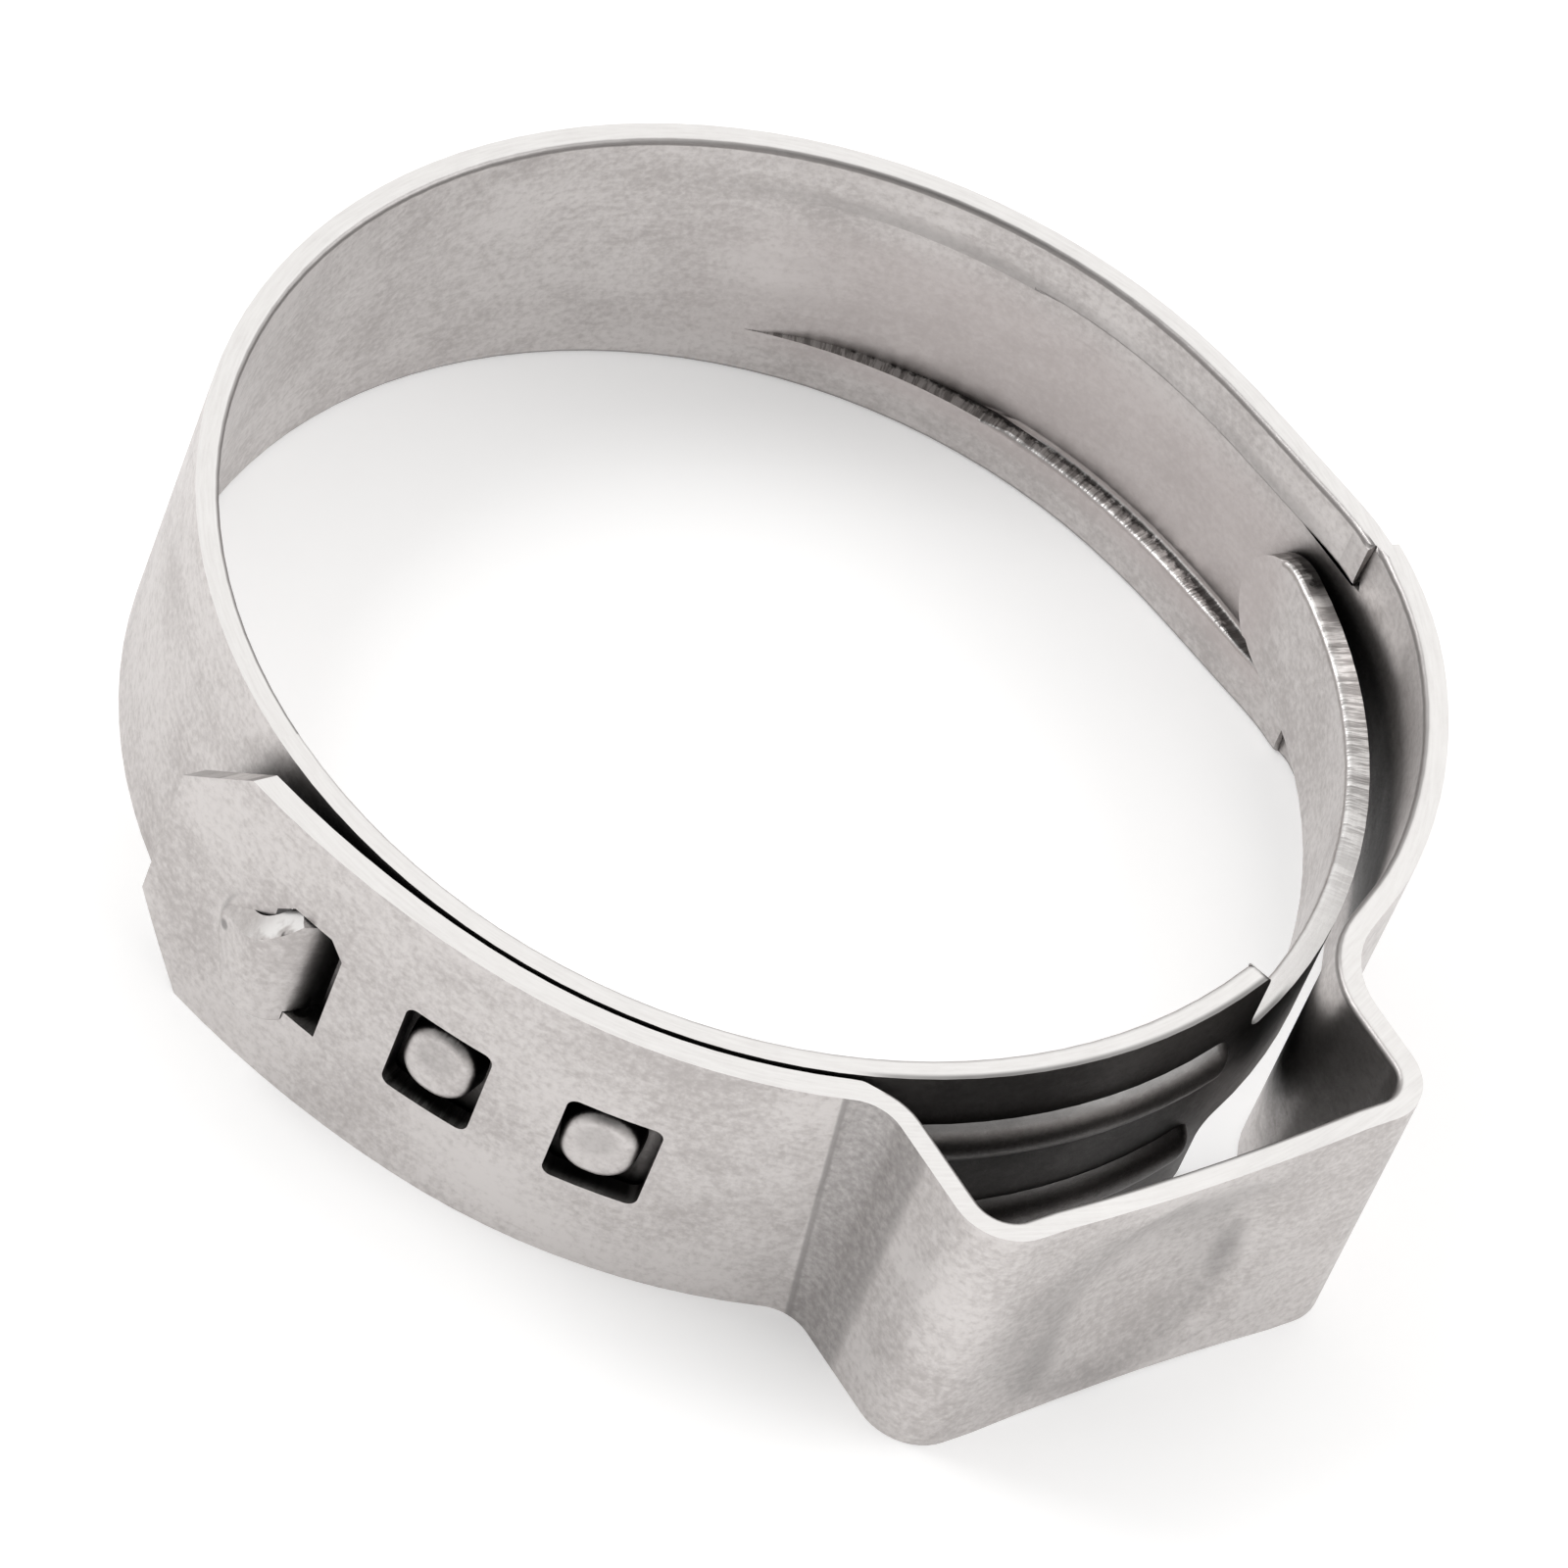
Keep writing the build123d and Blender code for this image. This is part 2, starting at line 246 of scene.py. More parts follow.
# %% Lamps
LAMPS = {
    # name: (place, side, power) in mm and watts
    "key": ((-110.0, 150.0, 200.0), 120.0, 0.26),
    "fill": ((160.0, -90.0, 150.0), 140.0, 0.12),
}
for name, (place, side, power) in LAMPS.items():
    lamp = bpy.data.lights.new(name, "AREA")
    lamp.size = side * MM
    lamp.energy = power
    holder = bpy.data.objects.new(name, lamp)
    holder.location = Vector(place) * MM
    holder.rotation_mode = "QUATERNION"
    holder.rotation_quaternion = Vector(place).to_track_quat("Z", "Y")
    bpy.context.scene.collection.objects.link(holder)
print("lamps:", sorted(LAMPS))

# %% [markdown]
# ## The floor
# The clamp lies on white paper. A floor that curves up into a wall would
# hide the horizon, but this camera looks down and never sees one, so a
# large square at the foot of the clamp is enough.

# %% Floor
FLOOR_HALF = 400 * MM

floor_height = cad_box[0].z
floor_corners = [
    (x * FLOOR_HALF, y * FLOOR_HALF, floor_height)
    for x, y in ((-1, -1), (1, -1), (1, 1), (-1, 1))
]
floor_mesh = bpy.data.meshes.new("floor")
floor_mesh.from_pydata(floor_corners, [], [(0, 1, 2, 3)])
floor = bpy.data.objects.new("floor", floor_mesh)
bpy.context.scene.collection.objects.link(floor)
print("floor at height in mm:", round(floor_height / MM, 2))

# %% [markdown]
# ## The paper
# Lit paper is never quite white in a picture, so it also glows a little, for
# the camera and for what metal mirrors of it. A glow that everything sees
# would light the clamp from below. The Light Path node tells which ray asks,
# so this one lights nothing else and leaves the clamp's shadow on the paper.

# %% Paper
PAPER_COLOUR = (0.82, 0.82, 0.82, 1.0)
GLOW_COLOUR = (1.0, 1.0, 1.0, 1.0)
PAPER_GLOW = 0.34

paper = bpy.data.materials.new("paper")
sheet = Nodes(paper)
lit = sheet.value("ShaderNodeBsdfDiffuse", None, {"Color": PAPER_COLOUR})
rays = sheet.node("ShaderNodeLightPath")
camera_ray, glossy_ray, transmission_ray = (
    Value(sheet, rays.outputs[name])
    for name in ("Is Camera Ray", "Is Glossy Ray", "Is Transmission Ray")
)
seen = camera_ray.math("MAXIMUM", camera_ray, glossy_ray)
seen = seen.math("MAXIMUM", seen, transmission_ray)
glow_look = {"Color": GLOW_COLOUR, "Strength": seen * PAPER_GLOW}
glow = sheet.value("ShaderNodeEmission", None, glow_look)
both = sheet.value("ShaderNodeAddShader", None, {0: lit, 1: glow})
sheet.node("ShaderNodeOutputMaterial", None, {"Surface": both})
floor_mesh.materials.append(paper)
print("paper nodes:", len(sheet.tree.nodes))

# %% [markdown]
# ## The strip
# The strip is the whole clamp: band, hook, windows, ear, channel and tongue.
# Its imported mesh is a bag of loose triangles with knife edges. It could be
# modelled again by hand, but then its size would drift from the CAD. So a
# copy is welded, and triangles that lie in one plane are joined into single
# faces, which can take a bevel.

# %% Weld and join
FLAT = math.radians(0.3)  # faces that turn less than this are one face
TOUCHING = 0.0004 * MM

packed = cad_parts["clamp_band"]
strip_mesh = packed.data.copy()
strip_mesh.name = "steel_strip"
strip_mesh.materials.clear()
welded = bmesh.new()
welded.from_mesh(strip_mesh)
bmesh.ops.remove_doubles(welded, verts=welded.verts, dist=TOUCHING)
bmesh.ops.dissolve_limit(
    welded, angle_limit=FLAT, verts=welded.verts, edges=welded.edges
)
open_edges = sum(1 for edge in welded.edges if not edge.is_manifold)
print("welded faces:", len(welded.faces), "open edges:", open_edges)

# %% [markdown]
# ## Two kinds of cut edge
# On one side of a punched strip the steel is drawn down over the edge, and
# on the other side the edge stays crisp. This strip was rolled with the
# drawn side inward, so its rims are rounder toward the bore and inside the
# ear than on the outer side. Where one layer lies on the other, the outer
# layer stays crisp on both sides, as it is in the photograph. One Bevel
# modifier with an angle limit would make all edges alike, so the drawn
# edges are chosen by place and beveled first. Their faces are marked with a
# material slot of their own, because they are shaded in another way later.

# %% Which edges are drawn
SHARP = math.radians(32)  # faces that turn more than this meet in an edge
LEVEL = 0.9  # a face that lies level has more than this in the z of its normal
UPRIGHT = 0.3  # and one that stands upright has less than this
LAP_R = 12.3 * MM  # where two layers lie together, the outer is outside this
FREE_END_TURN = 175.0  # from here, through the half turn, on to the ear's foot
EAR_FOOT_TURN = -116.0
EAR_R = 12.7 * MM  # the ear is outside this radius
EAR_Y = -12.0 * MM  # and beyond this line
EAR_MIDDLE = Vector((0.0, -13.6, 0.0)) * MM
RIM_Z = 2.9 * MM  # edges higher or lower than this are on a rim
SLIT_END_TURN = 30.0  # the slits beside the tongue run out past this angle
INWARD = -0.5  # how far a face has to look toward the middle of the ring


def faces_inward(face):
    """Whether a face is on the strip's side toward the bore or inside the ear."""
    centre = face.calc_center_median()
    centre.z = 0.0
    turn = math.degrees(math.atan2(centre.y, centre.x))
    if centre.length > LAP_R and (turn > FREE_END_TURN or turn < EAR_FOOT_TURN):
        return False  # lies over the inner layer, where the edge stays crisp
    if centre.length > EAR_R and centre.y < EAR_Y:
        return face.normal.dot(centre - EAR_MIDDLE) < 0
    return face.normal.dot(centre.normalized()) < INWARD


def is_drawn(edge):
    """Whether an edge is between a rim or cut wall and the inner side."""
    if not edge.is_manifold or edge.calc_face_angle() < SHARP:
        return False
    wall, side = sorted(edge.link_faces, key=lambda face: -abs(face.normal.z))
    if abs(wall.normal.z) < LEVEL or abs(side.normal.z) > UPRIGHT:
        return False
    middle = (edge.verts[0].co + edge.verts[1].co) / 2
    on_rim = abs(middle.z) > RIM_Z
    runs_out = math.degrees(math.atan2(middle.y, middle.x)) > SLIT_END_TURN
    return faces_inward(side) and (on_rim or not runs_out)


drawn = [edge for edge in welded.edges if is_drawn(edge)]
print("drawn edges:", len(drawn), "of", len(welded.edges))

# %% Break the drawn edges
DRAWN_WIDTH = 0.13 * MM
DRAWN_STEPS = 3
ROUND = 0.5  # the profile of a quarter circle
EDGE_SLOT = 1  # faces made by a bevel are marked by this material slot

bmesh.ops.bevel(
    welded,
    geom=drawn,
    offset=DRAWN_WIDTH,
    offset_type="OFFSET",
    segments=DRAWN_STEPS,
    profile=ROUND,
    affect="EDGES",
    clamp_overlap=False,
    loop_slide=False,
    material=EDGE_SLOT,
)
print("faces with drawn edges:", len(welded.faces))
welded.to_mesh(strip_mesh)
welded.free()
strip_mesh.shade_smooth()

# %% [markdown]
# ## Crisp edges
# No cut edge is a perfect corner, and without a small break it would show no
# glint. A Bevel modifier with an angle limit finds the rest of the edges by
# itself, round the hook, the windows and the bosses too. Its result is kept
# as a plain mesh, because the corners get their own directions next.

# %% Crisp edges
CRISP_WIDTH = 0.055 * MM
CRISP_STEPS = 2

for slot in (0, EDGE_SLOT):
    strip_mesh.materials.append(None)
rough_strip = bpy.data.objects.new("rough_strip", strip_mesh)
bpy.context.scene.collection.objects.link(rough_strip)
bevel = rough_strip.modifiers.new("crisp edges", "BEVEL")
bevel.width = CRISP_WIDTH
bevel.segments = CRISP_STEPS
bevel.limit_method = "ANGLE"
bevel.angle_limit = SHARP
bevel.loop_slide = False
bevel.material = EDGE_SLOT

bpy.context.view_layer.update()
finished = rough_strip.evaluated_get(bpy.context.evaluated_depsgraph_get())
strip = bpy.data.objects.new("steel_strip", bpy.data.meshes.new_from_object(finished))
strip.data.name = "steel_strip"
bpy.context.scene.collection.objects.link(strip)
bpy.data.objects.remove(rough_strip)
print("strip faces:", len(strip.data.polygons))

# %% [markdown]
# ## Calm faces
# A rolled strip is an even curve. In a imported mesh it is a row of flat
# facets, and a mirror shows every one. A finer mesh would only make more of
# them, so each corner of a face gets its own direction: the mean of the
# faces that meet there at a low angle, where large faces count for more. On
# the round walls of the ring the exact direction is known, straight out of
# the middle, and a corner that lies on one of them takes it. The narrow
# faces of the broken edges do not count, and Blender shades them itself.

# %% Directions of the corners
ROUND_WALLS = [radius * MM for radius in (11.75, 12.25, 12.37, 12.87)]
ON_WALL = 0.02 * MM
LOW_ANGLE = math.cos(math.radians(35))
SAME_WAY = 0.98  # the cosine of about 11 degrees

corners = strip.data.vertices
body_faces = [face for face in strip.data.polygons if face.material_index != EDGE_SLOT]
meeting = [[] for corner in corners]
for face in body_faces:
    for index in face.vertices:
        meeting[index].append(face)


def corner_direction(face, index):
    """Which way a face looks at one of its corners."""
    mean = Vector()
    for other in meeting[index]:
        if other.normal.dot(face.normal) > LOW_ANGLE:
            mean += other.normal * other.area
    mean.normalize()
    place = corners[index].co
    out = Vector((place.x, place.y, 0.0))
    off_wall = min(abs(out.length - wall) for wall in ROUND_WALLS)
    out = out.normalized() * math.copysign(1.0, out.dot(mean))
    on_wall = off_wall < ON_WALL and out.dot(face.normal) > SAME_WAY
    return out if on_wall else mean


# a corner left at nought is one that Blender shades itself
corner_normals = [Vector() for loop in strip.data.loops]
for face in body_faces:
    for loop, index in zip(face.loop_indices, face.vertices):
        corner_normals[loop] = corner_direction(face, index)
strip.data.normals_split_custom_set(corner_normals)
print("faces with their own directions:", len(body_faces))

# %% [markdown]
# ## The steel
# Rolled stainless strip has a satin grain along its length, a fine even
# mottle from pickling, and slow cloudy stains. All of these read Object
# coordinates, where the strip always runs in the x-y plane: a noise that
# changes fast along z and slowly along x and y is grain. A scanned texture
# could show more, but it would have to be unrolled onto the strip first.
# Every mark has a place on the strip, told by the angle round the ring in
# degrees, and in mm by the distance from the ring's middle and the height
# over the middle of the strip.

# %% Places on the strip
steel = bpy.data.materials.new("stainless_steel")
look = Nodes(steel)
place_x, place_y, place_z = [
    part * (1 / MM)
    for part in look.parts(look.value("ShaderNodeTexCoord", output=3))
]
turn = place_x.math("ARCTAN2", place_y, place_x) * math.degrees(1)
radius = (place_x * place_x + place_y * place_y) ** 0.5
normal_z = abs(look.parts(look.value("ShaderNodeNewGeometry", output=1))[2])


def grain_noise(along, across, detail, roughness=0.5):
    """A noise with its own number of waves per mm along and across the strip."""
    place = look.point(place_x * along, place_y * along, place_z * across)
    return look.noise(place, detail, roughness)


def tell(marks):
    """Say what has been added to the steel, and how large it has grown."""
    print(marks + ", steel nodes so far:", len(look.tree.nodes))


tell("places")

# %% Grain, mottle and clouds
grain = grain_noise(along=0.9, across=9.0, detail=5.0, roughness=0.62)
mottle = grain_noise(along=6.0, across=7.0, detail=4.0, roughness=0.65)
cloud = grain_noise(along=0.35, across=0.5, detail=3.0)
waves = grain_noise(along=0.9, across=0.9, detail=2.0)
tell("grain, mottle, clouds and waves")

# %% [markdown]
# ## Cut walls and rims
# The long rims were slit and are smooth and bright. The walls of the tongue
# and of the slits beside it were torn by a punch, which leaves fine ridges
# through the thickness of the strip, close together and uneven. Both could
# be materials of their own on chosen faces. But both lie level, so the z of
# the normal finds them without any choosing, and a slope between a wall and
# a face is a drawn edge, which mirrors the dark side of the room. Near the
# rims that slope also gets a dark line of painted shade in its colour.

# %% Walls, rims and shear marks
LEVEL_WALL = (0.6, 0.9)
RIM_FROM = (3.1, 3.2)  # the strip's rims are 3.25 from its middle
BEHIND_EAR = (-10.5, -6.5)
SLOPED = (0.06, 0.25, 0.9, 0.99)
SLOPED_FROM = (2.98, 3.1)

wall = look.fade(normal_z, *LEVEL_WALL)
rim = look.fade(abs(place_z), *RIM_FROM)
torn = wall * (1 - rim) * look.fade(place_y, *BEHIND_EAR)
shear_place = look.point(turn * 1.5, radius * 0.8, place_z * 0.4)
shear = look.noise(shear_place, detail=3.0, roughness=0.75)
streak_place = look.point(turn * 0.25, radius * 14, 0.0)
streak = look.noise(streak_place, detail=3.0, roughness=0.6)
# painted shade: a dark line on the sloped edges along the rims
painted_dark_edge = look.band(normal_z, *SLOPED) * look.fade(abs(place_z), *SLOPED_FROM)
tell("walls, rims and drawn edges")

# %% [markdown]
# ## An edge without the painted dark line
# The inner edge next to the ear shows no dark line. It could have a bevel of
# its own, but the line is only painted shade in the colour, so that paint is
# taken away again there.

# %% Edge without the painted dark line
UNLINED_R = (12.1, 12.0)
UNLINED_TURN = (-60.0, -75.0)

unlined = look.fade(radius, *UNLINED_R) * look.fade(turn, *UNLINED_TURN)
painted_dark_edge = painted_dark_edge * (1 - unlined)
tell("worn edge")

# %% [markdown]
# ## Corners that see only steel
# Where a face sees little but other steel, as in the gap between the layers,
# in the windows and in the ear, each bounce takes light away. More bounces
# would cost much time, so this shade is painted instead: Ambient Occlusion
# finds those places and darkens their colour. In the windows the painted
# shade is also placed by angle, height and radius, because their walls still
# see the room.

# %% Closed corners
LOOK_AROUND = 5.0 * MM
OPEN_TO_CLOSED = (0.62, 0.2)
WINDOW_TURN = (-165.8, -165.2, -132.6, -132.0)
WINDOW_Z = (1.5, 1.4)
WINDOW_WALL_R = (12.2, 12.3, 12.6, 12.82)

shade = {"samples": 4, "only_local": True}
open_sky = look.value("ShaderNodeAmbientOcclusion", shade, {1: LOOK_AROUND}, output=1)
# painted shade in the closed corners
closed = look.fade(open_sky, *OPEN_TO_CLOSED)
# painted shade in the windows, placed by angle, height and radius
recess = look.fade(abs(place_z), *WINDOW_Z) * look.band(radius, *WINDOW_WALL_R)
recess = recess * look.band(turn, *WINDOW_TURN)
tell("closed corners and windows")

# %% [markdown]
# ## The hook
# The hook was lanced up from the inner layer and bent over the free end. Its
# sheared side is a crumpled lip, with painted highlights and painted shade
# in the crumple, and a fine line of painted shade follows its nose where it
# lies on the steel below. The crumple could be sculpted, but it is a quarter
# of a millimetre wide, so a noise of its own gives it relief and places its
# painted highlights and shade. The line is a part of a circle round the
# middle of the nose.

# %% Hook
HOOK_TURN = (-177.0, -176.0, -164.0, -163.0)
HOOK_Z = (2.2, 2.0)
OUTER_FACE_R = (12.6, 12.75)
NOSE_TURN = -168.4
NOSE_Z = -0.2
NOSE_R = 1.5
LINE_HALF = 0.1
LINE_TURN = (-169.0, -170.0)
LINE_Z = (0.7, 0.2)
LIP_SLOPE = (0.3, 0.5)
LIP_END_TURN = (-172.0, -169.0)
MM_PER_DEGREE = math.radians(12.87)  # on the strip's outermost face

on_hook = look.band(turn, *HOOK_TURN) * look.fade(radius, *OUTER_FACE_R)
on_hook = on_hook * look.fade(abs(place_z), *HOOK_Z)
nose_x = (turn - NOSE_TURN) * MM_PER_DEGREE
nose_z = place_z - NOSE_Z
from_nose = (nose_x * nose_x + nose_z * nose_z) ** 0.5
# painted shade: a fine dark line round the nose where it lies on the steel
contact_shade = look.fade(abs(from_nose - NOSE_R), LINE_HALF, 0.0) * on_hook
contact_shade = contact_shade * look.fade(turn, *LINE_TURN) * look.fade(place_z, *LINE_Z)
# the lip gets painted highlights and painted shade from the crinkle noise
lip = look.fade(normal_z, *LIP_SLOPE) * on_hook
lip_end = look.fade(turn, *LIP_END_TURN)
crinkle = grain_noise(along=1.6, across=1.2, detail=3.0, roughness=0.55)
tell("hook")

# %% [markdown]
# ## Small round marks
# In each of the two square windows sits a boss pressed out of the inner
# layer, which shares the pull with the hook. Its top has a small darker spot,
# and a small spot of painted shadow sits at the tip of the hook's nose. A mark
# could be a tiny picture of its own, but from this far each is no more than a
# spot: the distance from a point on the strip, faded out at its reach.

# %% Painted shadow at the nose, and the bosses
NOSE_TIP_SHADOW = (-174.0, -0.3, 0.16)  # angle, height and reach of the spot
SPOT_CORE = 0.4  # the share of its reach in which a spot is full
BOSS_TURNS = (-151.9, -136.4)
BOSS_DARK_SPOT = (-0.4, 0.25, 0.6)
BOSS_R = (12.6, 12.7, 12.84, 12.86)


def spot(at_turn, at_z, reach):
    """One in the middle of a small round mark, nought at its reach."""
    along = (turn - at_turn) * MM_PER_DEGREE
    across = place_z - at_z
    away = (along * along + across * across) ** 0.5
    return look.fade(away, reach, reach * SPOT_CORE)


# painted shadow at the tip of the hook's nose
nose_tip_shadow = spot(*NOSE_TIP_SHADOW) * on_hook
mark_turn, mark_z, mark_reach = BOSS_DARK_SPOT
boss_dark_spot = 0.0
for boss_turn in BOSS_TURNS:
    boss_dark_spot = spot(boss_turn + mark_turn, mark_z, mark_reach) + boss_dark_spot
boss_dark_spot = boss_dark_spot * look.band(radius, *BOSS_R)
tell("nick and bosses")

# %% [markdown]
# ## Marks of the tools
# At the foot of the ear the forming tool left a pressed band across the
# strip, a little darker than the rest, with a crease along each side. The
# band leans, so its angle is counted with a share of the height added. It
# could be an edge in the shape, but it has almost no depth. Under the ear
# the inner layer lies in the ear's shade, and that shade is painted dark
# into its colour.

# %% Pressed band and shade under the ear
LEAN = 0.47  # degrees for each mm of height
FOOT_LEAN = (-117.1, -116.7)
FOOT_TURN = (-112.3, -112.9)
CREASE_LEAN = -116.9
CREASE_HALF = (0.4, 0.1)
FAR_CREASE_TURN = -112.6
FAR_CREASE_HALF = (0.35, 0.05)
FAR_CREASE_SHARE = 0.4
UNDER_EAR_TURN = (-118.0, -113.0, -67.0, -62.0)
UNDER_EAR_R = (12.1, 12.2, 12.3, 12.5)

lean = turn + place_z * LEAN
on_face = look.fade(radius, *OUTER_FACE_R) * (1 - wall)
pressed = look.fade(lean, *FOOT_LEAN) * look.fade(turn, *FOOT_TURN) * on_face
crease = look.fade(abs(lean - CREASE_LEAN), *CREASE_HALF)
far_crease = look.fade(abs(turn - FAR_CREASE_TURN), *FAR_CREASE_HALF)
crease = (crease + far_crease * FAR_CREASE_SHARE) * on_face
# painted shade on the inner layer under the ear
under_ear_shade = look.band(turn, *UNDER_EAR_TURN) * look.band(radius, *UNDER_EAR_R)
tell("pressed band")

# %% [markdown]
# ## Dent shade and darker ovals on the ear's front
# The jaws of a tool left a shallow round dent on the ear's front. The
# imported shape has the dent itself, and painted shade darkens it, most
# along its edge. A few upright ovals beside it are darker too. They could
# be one more noise, but noise never falls where the photograph has them, so
# each is an oval with a place of its own and only its edge is made uneven
# by noise.

# %% Dent shade and darker ovals
EAR_FRONT_Y = (-14.6, -15.0)
DENT_X = -1.1
DENT_Z = -0.3
DENT_EDGE = (3.25, 2.45)
DENT_DARKER = (0.8, 2.6)
DENT_WOBBLE = 0.7
DARK_OVALS = [
    # middle x, middle z, half width, half height, strength
    (-2.6, -0.7, 0.6, 1.9, 0.45),
    (1.5, 0.4, 0.4, 1.3, 0.45),
    (1.2, 2.2, 1.6, 0.7, 0.3),
]
OVAL_EDGE = (1.3, 0.1)  # in half widths of the oval
OVAL_WOBBLE = 1.2

dent_x = place_x - DENT_X
dent_z = place_z - DENT_Z
from_dent = (dent_x * dent_x + dent_z * dent_z) ** 0.5
from_dent = from_dent + (waves - 0.5) * DENT_WOBBLE
dent = look.fade(from_dent, *DENT_EDGE)
# painted shade in the dent, darkest along its edge
dent_shade_and_ovals = dent * look.fade(from_dent, *DENT_DARKER) * (0.2 + mottle * 0.4)
for middle_x, middle_z, half_x, half_z, strength in DARK_OVALS:
    off_x = (place_x - middle_x) * (1 / half_x)
    off_z = (place_z - middle_z) * (1 / half_z)
    away = (off_x * off_x + off_z * off_z) ** 0.5
    away = away + (cloud + waves) * OVAL_WOBBLE - OVAL_WOBBLE
    dent_shade_and_ovals = look.fade(away, *OVAL_EDGE) * strength + dent_shade_and_ovals
dent_shade_and_ovals = dent_shade_and_ovals * look.fade(place_y, *EAR_FRONT_Y)
tell("dent and stains")

# %% [markdown]
# ## The channel
# The tongue slides in a channel pressed outward from the band. Its floor is
# a little pink and dull from the drawing oil, with soft bands along the way
# it was drawn, and it is darker in soft bands along its upper corner. The
# wall of the slit below it is torn, with painted shade at its foot and a
# painted highlight along its top. The channel could be a material of its
# own, but its ends would show a line. All of it is placed by angle and
# height, so it fades in and out along the ring.

# %% Channel
CHANNEL_TURN = (-12.0, -6.0, 35.0, 75.0)
CHANNEL_R = (12.5, 12.4)
OILED_Z = (-2.7, -2.2, 0.6, 2.0)
DARKER_CORNER_Z = 2.1
DARKER_CORNER_HALF = 0.5
DARKER_CORNER_BANDS = (0.3, 0.6)

channel = look.band(turn, *CHANNEL_TURN) * look.fade(radius, *CHANNEL_R) * (1 - wall)
oiled = channel * look.band(place_z, *OILED_Z)
bands = grain_noise(along=0.1, across=1.5, detail=2.0)
darker_upper_corner = look.fade(abs(place_z - DARKER_CORNER_Z), DARKER_CORNER_HALF, 0.0) * channel
darker_upper_corner = darker_upper_corner * look.fade(bands, *DARKER_CORNER_BANDS)
tell("channel")

# %% Wall of the slit
SLIT_FROM = (-12.0, -11.0)
SLIT_TURN = (-12.0, -11.0, 70.0, 80.0)
SLIT_FOOT_R = (11.95, 12.1)
SLIT_FOOT_WOBBLE = 0.5
SLIT_TOP_R = (12.02, 11.95)
SLIT_TOP_SLOPE = (0.2, 0.4)
SLIT_Z = -2.6
SLIT_HALF = (0.35, 0.25)

foot_r = radius + (mottle - 0.5) * SLIT_FOOT_WOBBLE
# painted shade at the foot of the slit wall
slit_foot_shade = torn * look.fade(turn, *SLIT_FROM) * look.fade(foot_r, *SLIT_FOOT_R)
# painted highlight along the top of the slit wall
slit_top_highlight = look.fade(normal_z, *SLIT_TOP_SLOPE) * look.fade(radius, *SLIT_TOP_R)
slit_top_highlight = slit_top_highlight * look.band(turn, *SLIT_TURN)
slit_top_highlight = slit_top_highlight * look.fade(abs(place_z - SLIT_Z), *SLIT_HALF)
tell("slit")

# %% [markdown]
# ## The colours of the steel
# All the marks are shades of one metal, so one material takes them all, as a
# pile of layers. They could be painted in one picture that is wrapped round
# the strip, but then no mark could be moved again. Each layer is a share
# and a colour, and lies over the layers before it. The shade of the closed
# corners lies over nearly everything, so it comes near the end.

# %% Layers of colour
STEEL_PALE = (0.64, 0.612, 0.6, 1.0)
STEEL_DARK = (0.47, 0.442, 0.432, 1.0)
STEEL_PINK = (0.52, 0.472, 0.462, 1.0)
# the cut colour also paints highlights, and the marks colour also paints shade
STEEL_CUT_AND_HIGHLIGHT = (0.82, 0.81, 0.8, 1.0)
STEEL_MARKS_AND_SHADE = (0.3, 0.285, 0.28, 1.0)
STEEL_SHADED = (0.02, 0.018, 0.017, 1.0)
DULL_EDGE = (0.72, 1.2)

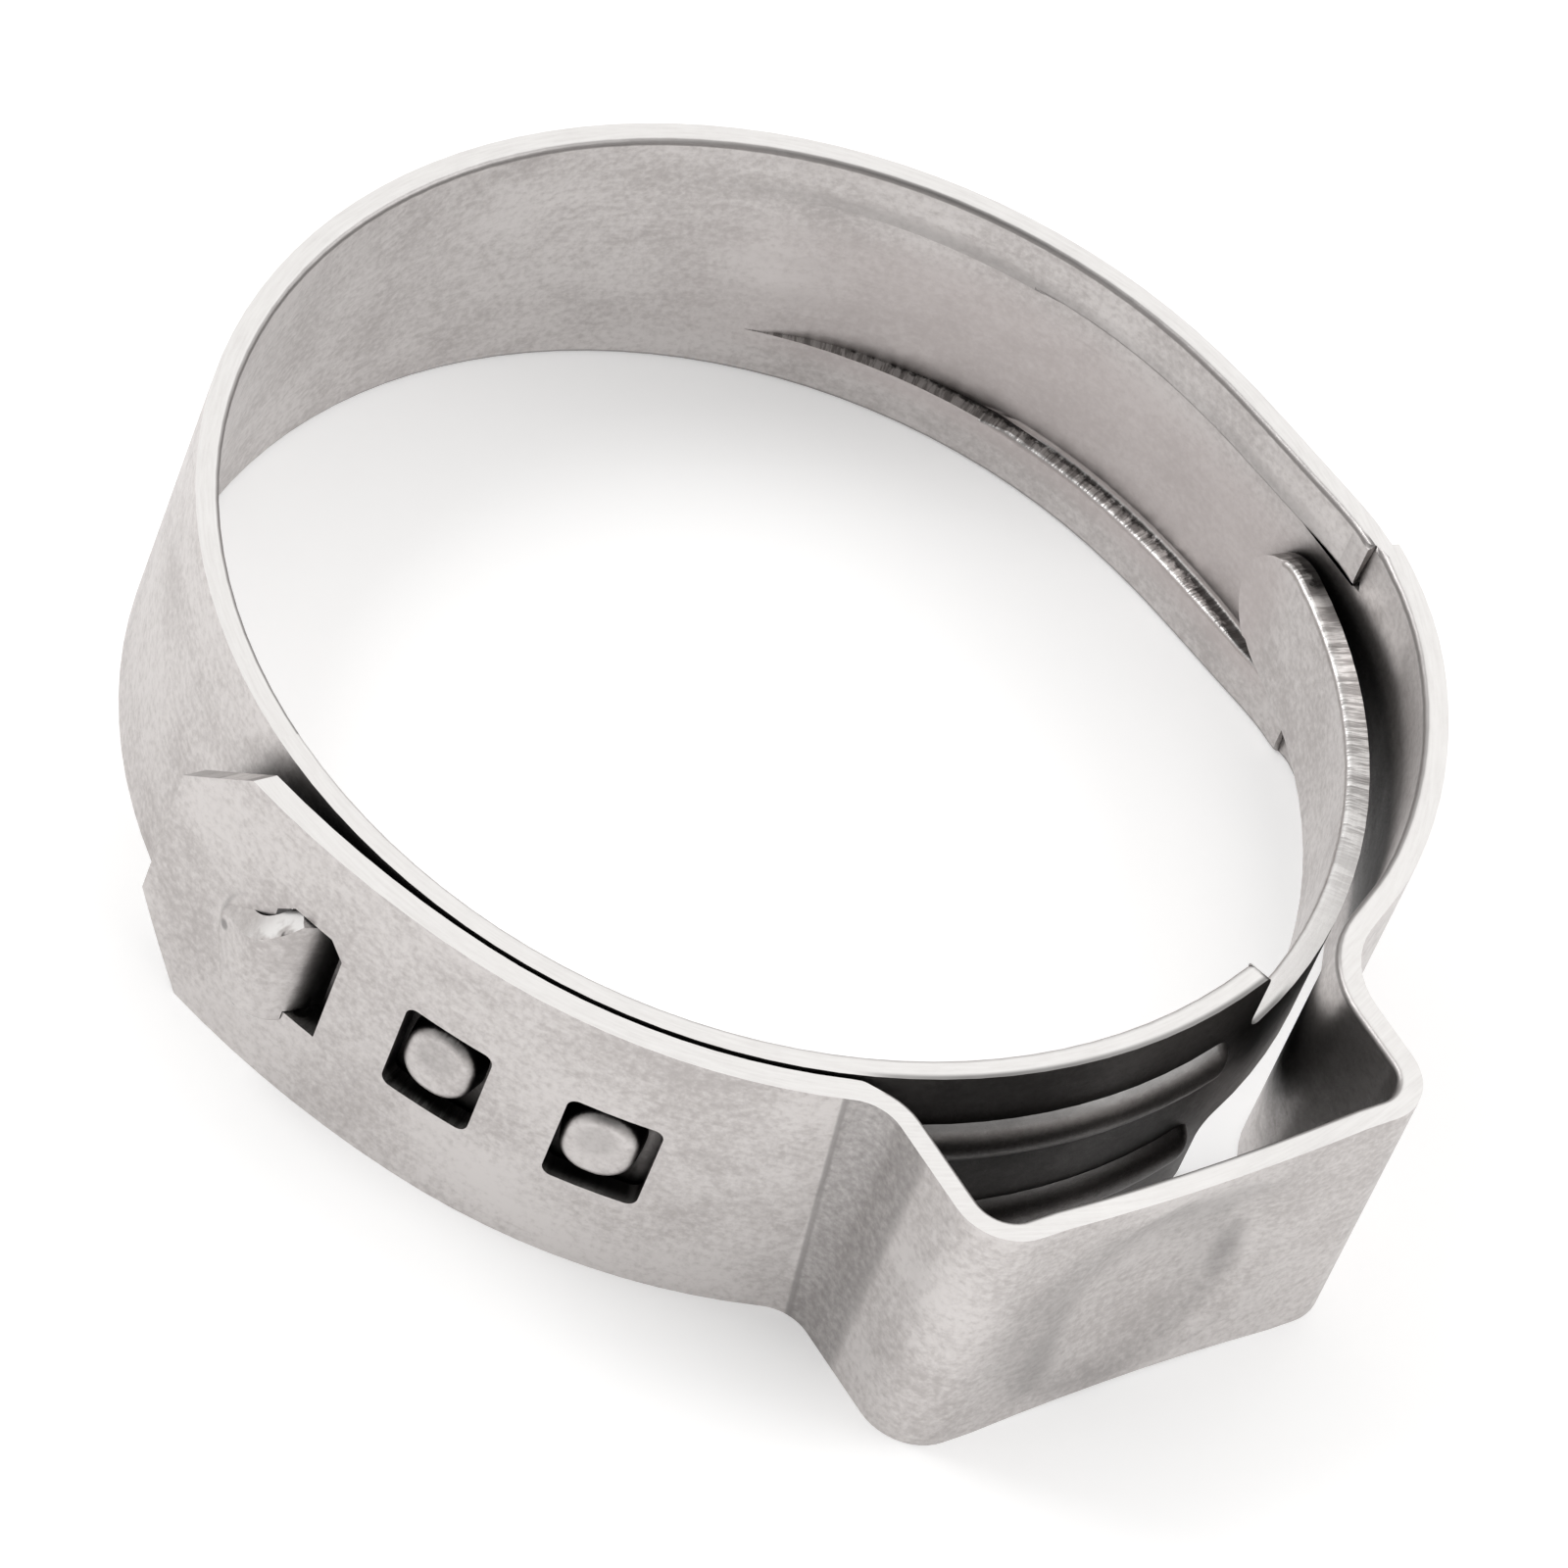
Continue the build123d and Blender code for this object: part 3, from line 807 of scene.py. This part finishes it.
dull = look.fade(cloud * 0.7 + mottle * 0.9 + grain * 0.25, *DULL_EDGE)
LAYERS = [
    # how much of the layer shows, and its colour
    (dull, STEEL_DARK),
    (look.fade(bands, 0.45, 0.7) * channel * 0.5, STEEL_DARK),
    (oiled * (0.4 + mottle * 0.5), STEEL_PINK),
    (darker_upper_corner * 0.5, STEEL_MARKS_AND_SHADE),
    (wall * (0.5 + streak * 0.8), STEEL_CUT_AND_HIGHLIGHT),
    (torn * look.fade(shear, 0.58, 0.42) * 0.8, STEEL_MARKS_AND_SHADE),
    # painted shade at the foot of the slit wall
    (slit_foot_shade * 0.9, STEEL_SHADED),
    # painted highlight along the top of the slit wall
    (slit_top_highlight * 0.9, STEEL_CUT_AND_HIGHLIGHT),
    # painted shade along the drawn edges of the rims
    (painted_dark_edge * 0.8, STEEL_MARKS_AND_SHADE),
    (pressed * (0.1 + mottle * 1.1), STEEL_MARKS_AND_SHADE),
    # the creases are tool marks; the line round the hook's nose is painted shade
    (crease * 0.8 + contact_shade * 0.5, STEEL_MARKS_AND_SHADE),
    # painted shade in the dent, and the darker ovals
    (dent_shade_and_ovals, STEEL_MARKS_AND_SHADE),
    # painted highlights and painted shade in the crumple of the hook's lip
    (lip * lip_end * look.fade(crinkle, 0.4, 0.55), STEEL_CUT_AND_HIGHLIGHT),
    (lip * look.fade(crinkle, 0.4, 0.34) * 0.8, STEEL_SHADED),
    # painted shade on the inner layer under the ear
    (under_ear_shade * (0.45 + cloud * 0.4), STEEL_SHADED),
    # painted shade in the closed corners
    (closed * (1 - torn * 0.6) * 0.96, STEEL_SHADED),
    # darker spots on the bosses, and painted shadow at the hook's nose
    (boss_dark_spot * 0.3 + nose_tip_shadow, STEEL_MARKS_AND_SHADE),
    # painted shade in the windows
    (recess * 0.85, STEEL_SHADED),
]
colour = STEEL_PALE
for share, layer_colour in LAYERS:
    colour = look.blend(share, colour, layer_colour)
print("layers of colour:", len(LAYERS))

# %% [markdown]
# ## Shine and relief
# Pickled steel is neither a mirror nor matt, and its shine changes a little
# with the grain and the mottle. The relief under it is a few hundredths of a
# millimetre at most. Displacing the mesh that little would need millions of
# faces, so a Bump node turns the normals only.

# %% Stainless steel
BUMP_DEPTH = 0.02 * MM
BUMP_STRENGTH = 0.5

roughness = 0.27 + grain * 0.06 + cloud * 0.1 + mottle * 0.12 - torn * 0.05
height = grain * 0.12 + mottle * 0.4 + waves * 3.0 + shear * torn * 3.0
height = height + crinkle * lip * 1.2
bump = {"Strength": BUMP_STRENGTH, "Distance": BUMP_DEPTH, "Height": height}
relief = look.value("ShaderNodeBump", None, bump)
surface = {
    "Base Color": colour,
    "Metallic": 1.0,
    "Roughness": roughness,
    "Normal": relief,
}
metal = look.value("ShaderNodeBsdfPrincipled", None, surface)
look.node("ShaderNodeOutputMaterial", None, {"Surface": metal})
strip.data.materials.clear()
strip.data.materials.append(steel)
print("steel nodes:", len(look.tree.nodes))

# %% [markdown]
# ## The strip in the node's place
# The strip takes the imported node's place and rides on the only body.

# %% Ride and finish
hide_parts("clamp_band")
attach(strip, "root")
